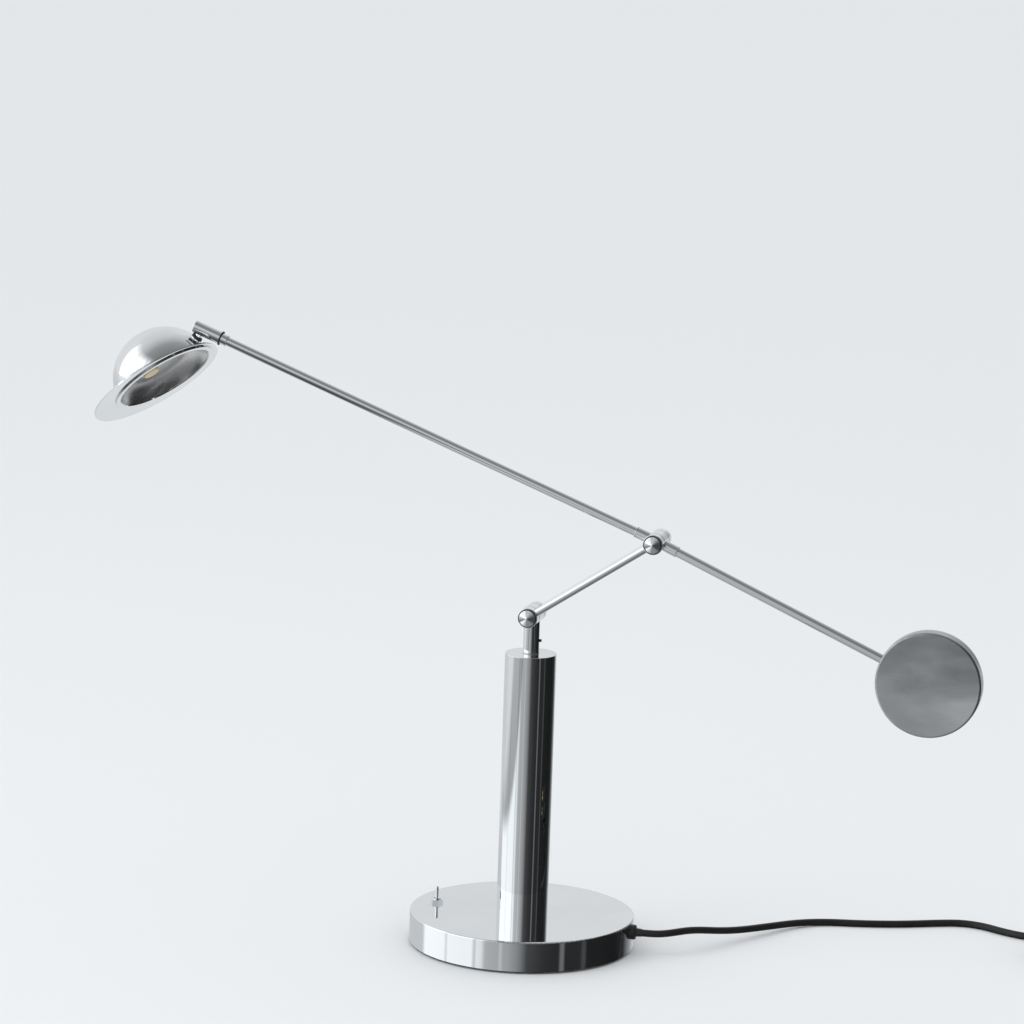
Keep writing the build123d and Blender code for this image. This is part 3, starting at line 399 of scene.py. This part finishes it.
def satin_steel(name, colour, roughness):
    made, tree, shader = start_material(name, colour, 1.0, roughness)
    cloud = noise(tree, SATIN_CLOUD_SCALE, SATIN_CLOUD_DETAIL)
    vary_roughness(tree, shader, cloud, roughness * SATIN_SMOOTHEST, roughness * SATIN_ROUGHEST)
    darker = tuple(value * SATIN_DARKEST for value in colour)
    vary_colour(tree, shader, cloud, darker, colour)
    grain = noise(tree, SATIN_GRAIN_SCALE, SATIN_GRAIN_DETAIL)
    raise_bumps(tree, shader, grain, SATIN_GRAIN, STEEL_GRAIN_DEPTH)
    return made


def ground_steel_painted_reflection(name, dark, light, roughness, direction):
    made, tree, shader = start_material(name, light, 1.0, roughness)
    # Painted reflection: long clouds mix the dark and light colours; the grinding marks below are real bumps
    cloud = noise(tree, WEIGHT_REFLECTION_CLOUD_SCALE, WEIGHT_REFLECTION_CLOUD_DETAIL, direction, WEIGHT_REFLECTION_CLOUD_STRETCH)
    vary_colour(tree, shader, cloud, dark, light)
    vary_roughness(tree, shader, cloud, roughness * GROUND_ROUGHEST, roughness * GROUND_SMOOTHEST)
    marks = noise(tree, GRINDING_SCALE, GRINDING_DETAIL, direction, GRINDING_STRETCH)
    raise_bumps(tree, shader, marks, GRINDING, STEEL_GRAIN_DEPTH)
    return made


def moulding(name, colour, roughness, grain):
    made, tree, shader = start_material(name, colour, 0.0, roughness)
    cloud = noise(tree, MOULDING_CLOUD_SCALE, MOULDING_CLOUD_DETAIL)
    lighter = tuple(min(value * MOULDING_LIGHTEST, 1.0) for value in colour)
    vary_colour(tree, shader, cloud, colour, lighter)
    vary_roughness(tree, shader, cloud, roughness * MOULDING_SMOOTHEST, roughness * MOULDING_ROUGHEST)
    bumps = noise(tree, MOULDING_GRAIN_SCALE, MOULDING_GRAIN_DETAIL)
    raise_bumps(tree, shader, bumps, grain, MOULDING_GRAIN_DEPTH)
    return made


# Shared studio pieces

def along(tree, place, direction, start, end, low=0.0):
    measured = tree.nodes.new("ShaderNodeVectorMath")
    measured.operation = "DOT_PRODUCT"
    measured.inputs[1].default_value = direction
    tree.links.new(place, measured.inputs[0])
    ranged = tree.nodes.new("ShaderNodeMapRange")
    ranged.interpolation_type = "SMOOTHSTEP"
    ranged.inputs["From Min"].default_value = start
    ranged.inputs["From Max"].default_value = end
    ranged.inputs["To Min"].default_value = low
    tree.links.new(measured.outputs["Value"], ranged.inputs["Value"])
    return ranged.outputs["Result"]


def mix_shaders(tree, factor, first, second):
    mix = tree.nodes.new("ShaderNodeMixShader")
    tree.links.new(factor, mix.inputs["Fac"])
    tree.links.new(first, mix.inputs[1])
    tree.links.new(second, mix.inputs[2])
    return mix.outputs["Shader"]


def brightness_ramp(tree, factor, levels):
    ramp = tree.nodes.new("ShaderNodeValToRGB")
    elements = ramp.color_ramp.elements
    for position, _ in levels[1:-1]:
        elements.new(position)
    for element, (position, level) in zip(elements, levels):
        element.position = position
        element.color = (*(level * share for share in ROOM_TINT), 1.0)
    tree.links.new(factor, ramp.inputs["Fac"])
    return ramp.outputs["Color"]


# Floor: pale to the eye, glossy where the chrome mirrors it

def floor_mirror(tree, place):
    beyond = tree.nodes.new("ShaderNodeFresnel")
    beyond.inputs["IOR"].default_value = FLOOR_BEYOND_IOR
    tint = tree.nodes.new("ShaderNodeMix")
    tint.data_type = "RGBA"
    tree.links.new(beyond.outputs["Fac"], tint.inputs["A"])
    tint.inputs["B"].default_value = FLOOR_MIRROR_COLOUR
    edge = along(tree, place, FLOOR_EDGE_SIDE, FLOOR_EDGE, FLOOR_EDGE_END)
    tree.links.new(edge, tint.inputs["Factor"])
    mirror = tree.nodes.new("ShaderNodeBsdfGlossy")
    mirror.inputs["Roughness"].default_value = FLOOR_MIRROR_ROUGHNESS
    tree.links.new(tint.outputs["Result"], mirror.inputs["Color"])
    return mirror.outputs["BSDF"]


def floor_gloss(tree, place):
    seen_by = tree.nodes.new("ShaderNodeLightPath")
    gloss = along(tree, place, FLOOR_PALE_SIDE, FLOOR_PALE_FROM, FLOOR_MIRROR_TO, FLOOR_PALE_GLOSS)
    share = tree.nodes.new("ShaderNodeMath")
    share.operation = "MULTIPLY"
    tree.links.new(seen_by.outputs["Is Glossy Ray"], share.inputs[0])
    tree.links.new(gloss, share.inputs[1])
    return share.outputs["Value"]


def make_floor():
    bpy.ops.mesh.primitive_plane_add(size=FLOOR_SIZE)
    floor = bpy.context.object
    floor.name = "floor"
    made, tree, shader = start_material("floor", FLOOR_COLOUR, 0.0, FLOOR_ROUGHNESS)
    shader.inputs["Specular IOR Level"].default_value = FLOOR_SPECULAR
    place = tree.nodes.new("ShaderNodeTexCoord").outputs["Object"]
    surface = mix_shaders(tree, floor_gloss(tree, place), shader.outputs["BSDF"], floor_mirror(tree, place))
    tree.links.new(surface, tree.nodes["Material Output"].inputs["Surface"])
    floor.data.materials.append(made)


# Key light

def make_key():
    data = bpy.data.lights.new("key", "AREA")
    data.size = KEY_SIZE
    data.energy = KEY_POWER
    key = bpy.data.objects.new("key", data)
    key.location = KEY_PLACE
    key.rotation_euler = (Vector(KEY_TARGET) - Vector(KEY_PLACE)).to_track_quat("-Z", "Y").to_euler()
    bpy.context.scene.collection.objects.link(key)
    key.visible_glossy = False


# Room: seen in the chrome, with a plain backdrop and soft light elsewhere

def mirrored_room(tree):
    place = tree.nodes.new("ShaderNodeTexCoord").outputs["Generated"]
    turn = tree.nodes.new("ShaderNodeMapping")
    turn.inputs["Rotation"].default_value = (0.0, 0.0, math.radians(ROOM_TURN))
    tree.links.new(place, turn.inputs["Vector"])
    around = tree.nodes.new("ShaderNodeTexGradient")
    around.gradient_type = "RADIAL"
    tree.links.new(turn.outputs["Vector"], around.inputs["Vector"])
    across = along(tree, place, CEILING_SIDE, -CEILING_REACH, CEILING_REACH)
    room = tree.nodes.new("ShaderNodeMix")
    room.data_type = "RGBA"
    tree.links.new(along(tree, place, UP, CEILING_START, CEILING_FULL), room.inputs["Factor"])
    tree.links.new(brightness_ramp(tree, around.outputs["Fac"], ROOM), room.inputs["A"])
    tree.links.new(brightness_ramp(tree, across, CEILING), room.inputs["B"])
    mirrored = tree.nodes.new("ShaderNodeBackground")
    tree.links.new(room.outputs["Result"], mirrored.inputs["Color"])
    return mirrored.outputs["Background"]


def make_room():
    world = bpy.data.worlds.new("room")
    bpy.context.scene.world = world
    world.use_nodes = True
    tree = world.node_tree
    tree.nodes.clear()
    soft = tree.nodes.new("ShaderNodeBackground")
    soft.inputs["Strength"].default_value = SOFT_LIGHT
    backdrop = tree.nodes.new("ShaderNodeBackground")
    backdrop.inputs["Color"].default_value = BACKGROUND
    seen_by = tree.nodes.new("ShaderNodeLightPath").outputs
    plain = mix_shaders(tree, seen_by["Is Camera Ray"], soft.outputs["Background"],
                        backdrop.outputs["Background"])
    surface = mix_shaders(tree, seen_by["Is Glossy Ray"], plain, mirrored_room(tree))
    output = tree.nodes.new("ShaderNodeOutputWorld")
    tree.links.new(surface, output.inputs["Surface"])


# Dressing: each material with the nodes that it covers

def in_arm_plane(degrees):
    angle = math.radians(degrees)
    return (math.cos(angle), 0.0, math.sin(angle))


def dress(material, *names):
    for name in names:
        NODES[name].data.materials.clear()
        NODES[name].data.materials.append(material)


def dress_chrome():
    dress(chrome("chrome_base"), "base_cover")
    dress(chrome("chrome_column", UP), "column_tube", "column_cap", "stem")
    dress(chrome("chrome_front_arm", in_arm_plane(180 - FRONT_ARM_ANGLE)), "front_arm", "arm_collar",
          "knuckle")
    dress(chrome("chrome_rear_arm", in_arm_plane(-REAR_ARM_ANGLE)), "rear_arm", "arm_hub", "sleeve_rings")
    dress(chrome("chrome_link", in_arm_plane(LINK_ANGLE)), "link_rods", "lower_link_eyes",
          "upper_link_eyes")
    dress(chrome("chrome_joints"), "lower_pivot_bolt", "lower_pivot_nut", "upper_pivot_bolt",
          "upper_pivot_nut", "toggle_bush", "toggle_nut", "toggle_lever", "toggle_pin", "neck_pin",
          "neck_seat")
    dress(chrome("chrome_shade"), "shade", "bezel_ring")


def dress_steel():
    # Counterweight: painted reflection in long clouds of colour, over real grinding marks
    dress(ground_steel_painted_reflection("satin_weight", WEIGHT_PAINTED_DARK, WEIGHT_PAINTED_LIGHT, roughness=0.26, direction=WEIGHT_GRINDING_AND_REFLECTION),
          "counterweight")
    dress(satin_steel("zinc_steel", ZINC, roughness=0.35), "bottom_plate", "plate_screws", "column_foot",
          "tie_rod", "tie_nut", "tie_washer", "stem_washer", "roll_spindle", "neck_nut", "board_screws")
    dress(satin_steel("black_oxide", OXIDE_BLACK, roughness=0.45), "stem_set_screw", "counterweight_screw")
    dress(satin_steel("cast_ballast", CAST_IRON, roughness=0.6), "base_ballast")
    dress(satin_steel("reflector_metal", REFLECTOR_SILVER, roughness=0.26), "reflector")
    dress(satin_steel("sink_metal", ALUMINIUM, roughness=0.45), "heat_sink")
    dress(satin_steel("bare_brass", BRASS, roughness=0.3), "switch_terminals", "plug_pins")


def dress_mouldings(lead):
    dress(moulding("black_rubber", RUBBER_BLACK, roughness=0.75, grain=0.25), "base_pad")
    dress(moulding("black_plastic", PLASTIC_BLACK, roughness=0.42, grain=0.15), "cord_gland", "gland_nut",
          "plug_body", "cord_ties")
    dress(moulding("washer_fibre", FIBRE_BLACK, roughness=0.6, grain=0.3), "lower_friction_washers",
          "upper_friction_washers", "knuckle_ring", "neck_washer")
    dress(moulding("switch_case", SWITCH_RED, roughness=0.5, grain=0.2), "switch_body")
    dress(moulding("driver_case", DRIVER_GREY, roughness=0.5, grain=0.2), "led_driver")
    dress(moulding("board_mask", BOARD_WHITE, roughness=0.35, grain=0.1), "led_board")
    dress(moulding("led_phosphor", PHOSPHOR_YELLOW, roughness=0.3, grain=0.1), "led_emitter")
    sheath = moulding("cord_sheath", SHEATH_BLACK, roughness=0.5, grain=0.12)
    dress(sheath, "supply_lead", "mains_cord", "cord_coil")
    lead.data.materials.append(sheath)


make_camera()
lead = make_lead()
dress_chrome()
dress_steel()
dress_mouldings(lead)
make_floor()
make_key()
make_room()
bpy.context.scene.view_settings.view_transform = "Standard"

bpy.context.view_layer.update()
